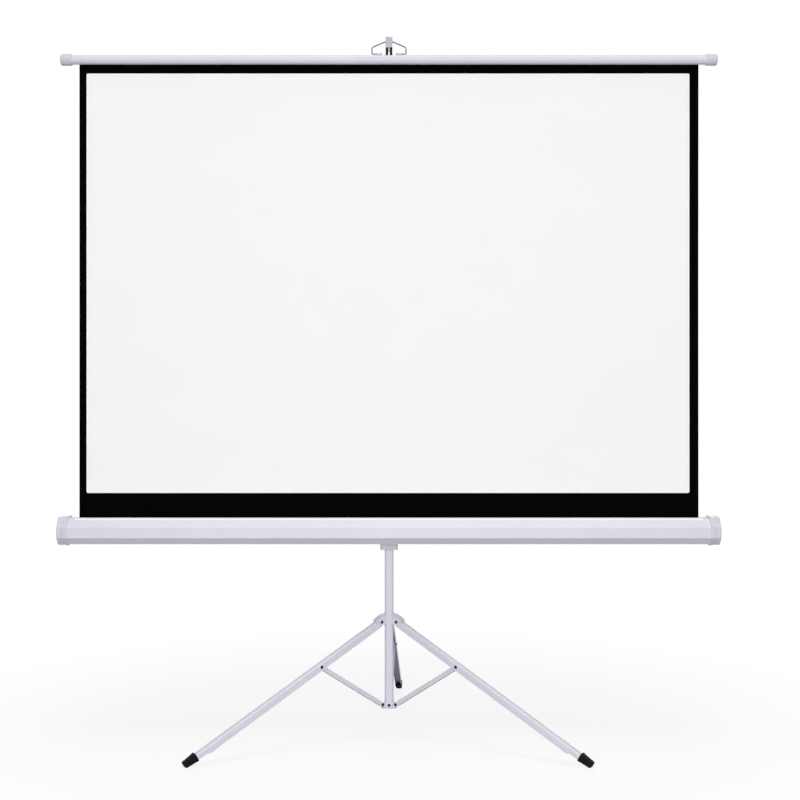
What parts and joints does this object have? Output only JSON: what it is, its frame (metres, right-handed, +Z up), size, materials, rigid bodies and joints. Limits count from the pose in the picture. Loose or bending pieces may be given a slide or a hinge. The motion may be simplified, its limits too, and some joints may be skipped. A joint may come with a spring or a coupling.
{
  "type": "tripod projector screen",
  "caption": "Tripod projector screen: folding braced legs, telescoping pole with hook, slotted roller case, drawn white cloth with a black border and a top bar with a bail.",
  "frame": {"origin": "on the floor, at the centre of the footprint of the whole object", "axes": "+Z up along the mast; -Y is the front, towards the audience; +X to the right as seen from the front"},
  "size_m": [1.855, 0.9399, 1.992],
  "materials": {
    "light_grey_paint": "satin light grey paint with a faint violet cast",
    "light_grey_plastic": "fine-grained moulded plastic",
    "black_plastic": "fine-grained moulded plastic",
    "blackened_steel": "blackened, slightly glossy",
    "black_rubber": "matte",
    "bright_steel": "plated, dull shine",
    "screen_cloth": "matte white coated cloth, black borders and back"
  },
  "bodies": {
    "mast": {"mast_tube": "light_grey_paint", "mast_bottom_plug": "black_plastic", "mast_top_collar": "black_plastic", "lower_collar": "light_grey_paint", "collar_screw": "blackened_steel"},
    "hub": {"leg_hub": "light_grey_paint", "leg_pin_left": "blackened_steel", "leg_pin_right": "blackened_steel", "leg_pin_rear": "blackened_steel"},
    "leg_left": {"leg_left": "light_grey_paint", "foot_left": "black_rubber", "brace_pin_left": "blackened_steel"},
    "brace_left": {"brace_left": "light_grey_paint", "brace_foot_pin_left": "blackened_steel"},
    "leg_right": {"leg_right": "light_grey_paint", "foot_right": "black_rubber", "brace_pin_right": "blackened_steel"},
    "brace_right": {"brace_right": "light_grey_paint", "brace_foot_pin_right": "blackened_steel"},
    "leg_rear": {"leg_rear": "light_grey_paint", "foot_rear": "black_rubber", "brace_pin_rear": "blackened_steel"},
    "brace_rear": {"brace_rear": "light_grey_paint", "brace_foot_pin_rear": "blackened_steel"},
    "carriage": {"carriage_block": "light_grey_plastic", "swivel_pin": "bright_steel"},
    "carriage_knob": {"carriage_knob": "black_plastic"},
    "case": {"case_shell": "light_grey_paint", "case_bracket": "bright_steel", "end_cap_left": "light_grey_plastic", "end_cap_right": "light_grey_plastic", "idler_pin": "bright_steel", "spring_shaft": "bright_steel", "screen_fabric": "screen_cloth"},
    "roller": {"roller_tube": "bright_steel", "fabric_roll": "screen_cloth", "roller_plug_left": "light_grey_plastic", "roller_plug_right": "light_grey_plastic", "roller_spring": "bright_steel"},
    "bar": {"top_bar": "light_grey_paint", "bar_cap_left": "light_grey_plastic", "bar_cap_right": "light_grey_plastic", "bail_clip_left": "bright_steel", "bail_clip_right": "bright_steel"},
    "bail": {"bail": "bright_steel"},
    "pole": {"extension_pole": "light_grey_paint", "pole_guide_bush": "black_plastic", "pole_top_fork": "black_plastic", "pole_hook": "bright_steel"},
    "pole_knob": {"pole_knob": "black_plastic"}
  },
  "joints": [
    {"name": "hub_slide", "type": "slide", "parent": "mast", "child": "hub", "axis": [0, 0, 1], "range_m": [0, 0.175]},
    {"name": "leg_left_fold", "type": "hinge", "parent": "hub", "child": "leg_left", "pos_m": [-0.02624, -0.17073, 0.33151], "axis": [0.5, -0.866, 0], "range_deg": [0, 35.77]},
    {"name": "brace_left_fold", "type": "hinge", "parent": "leg_left", "child": "brace_left", "pos_m": [-0.19048, -0.26556, 0.22296], "axis": [-0.5, 0.866, 0], "range_deg": [0, 68.34]},
    {"name": "leg_right_fold", "type": "hinge", "parent": "hub", "child": "leg_right", "pos_m": [0.02624, -0.17073, 0.33151], "axis": [0.5, 0.866, 0], "range_deg": [0, 35.77]},
    {"name": "brace_right_fold", "type": "hinge", "parent": "leg_right", "child": "brace_right", "pos_m": [0.19048, -0.26556, 0.22296], "axis": [-0.5, -0.866, 0], "range_deg": [0, 68.34]},
    {"name": "leg_rear_fold", "type": "hinge", "parent": "hub", "child": "leg_rear", "pos_m": [0.00137, -0.12531, 0.33151], "axis": [-0.999, 0.0454, 0], "range_deg": [0, 35.77]},
    {"name": "brace_rear_fold", "type": "hinge", "parent": "leg_rear", "child": "brace_rear", "pos_m": [0.00998, 0.06414, 0.22296], "axis": [0.999, -0.0454, 0], "range_deg": [0, 68.34]},
    {"name": "case_lift", "type": "slide", "parent": "mast", "child": "carriage", "axis": [0, 0, 1], "range_m": [0, 0.35]},
    {"name": "carriage_knob_turn", "type": "hinge", "parent": "carriage", "child": "carriage_knob", "pos_m": [0.036, -0.15558, 0.625], "axis": [1, 0, 0], "range_deg": [0, 180]},
    {"name": "case_swivel", "type": "hinge", "parent": "carriage", "child": "case", "pos_m": [0, -0.18558, 0.595], "axis": [0, 1, 0], "range_deg": [0, 50]},
    {"name": "roller_spin", "type": "hinge", "parent": "case", "child": "roller", "pos_m": [0, -0.23368, 0.595], "axis": [-1, 0, 0], "range_deg": [0, 2884.3]},
    {"name": "pole_slide", "type": "slide", "parent": "mast", "child": "pole", "axis": [0, 0, -1], "range_m": [0, 0.78]},
    {"name": "bar_slide", "type": "slide", "parent": "case", "child": "bar", "axis": [0, 0, -1], "range_m": [0, 0.78], "deforming": ["screen_fabric"]},
    {"name": "bail_fold", "type": "hinge", "parent": "bar", "child": "bail", "pos_m": [0, -0.21758, 1.93745], "axis": [-1, 0, 0], "range_deg": [0, 54]},
    {"name": "pole_knob_turn", "type": "hinge", "parent": "mast", "child": "pole_knob", "pos_m": [0.027, -0.15558, 1.053], "axis": [1, 0, 0], "range_deg": [0, 180]}
  ],
  "couplings": [
    {"joint": "leg_left_fold", "follows": "hub_slide", "rad_per_m": 3.5666},
    {"joint": "brace_left_fold", "follows": "hub_slide", "rad_per_m": 6.8149},
    {"joint": "leg_right_fold", "follows": "hub_slide", "rad_per_m": 3.5666},
    {"joint": "brace_right_fold", "follows": "hub_slide", "rad_per_m": 6.8149},
    {"joint": "leg_rear_fold", "follows": "hub_slide", "rad_per_m": 3.5666},
    {"joint": "brace_rear_fold", "follows": "hub_slide", "rad_per_m": 6.8149},
    {"joint": "bar_slide", "follows": "pole_slide", "ratio": 1},
    {"joint": "roller_spin", "follows": "pole_slide", "rad_per_m": 64.516}
  ]
}
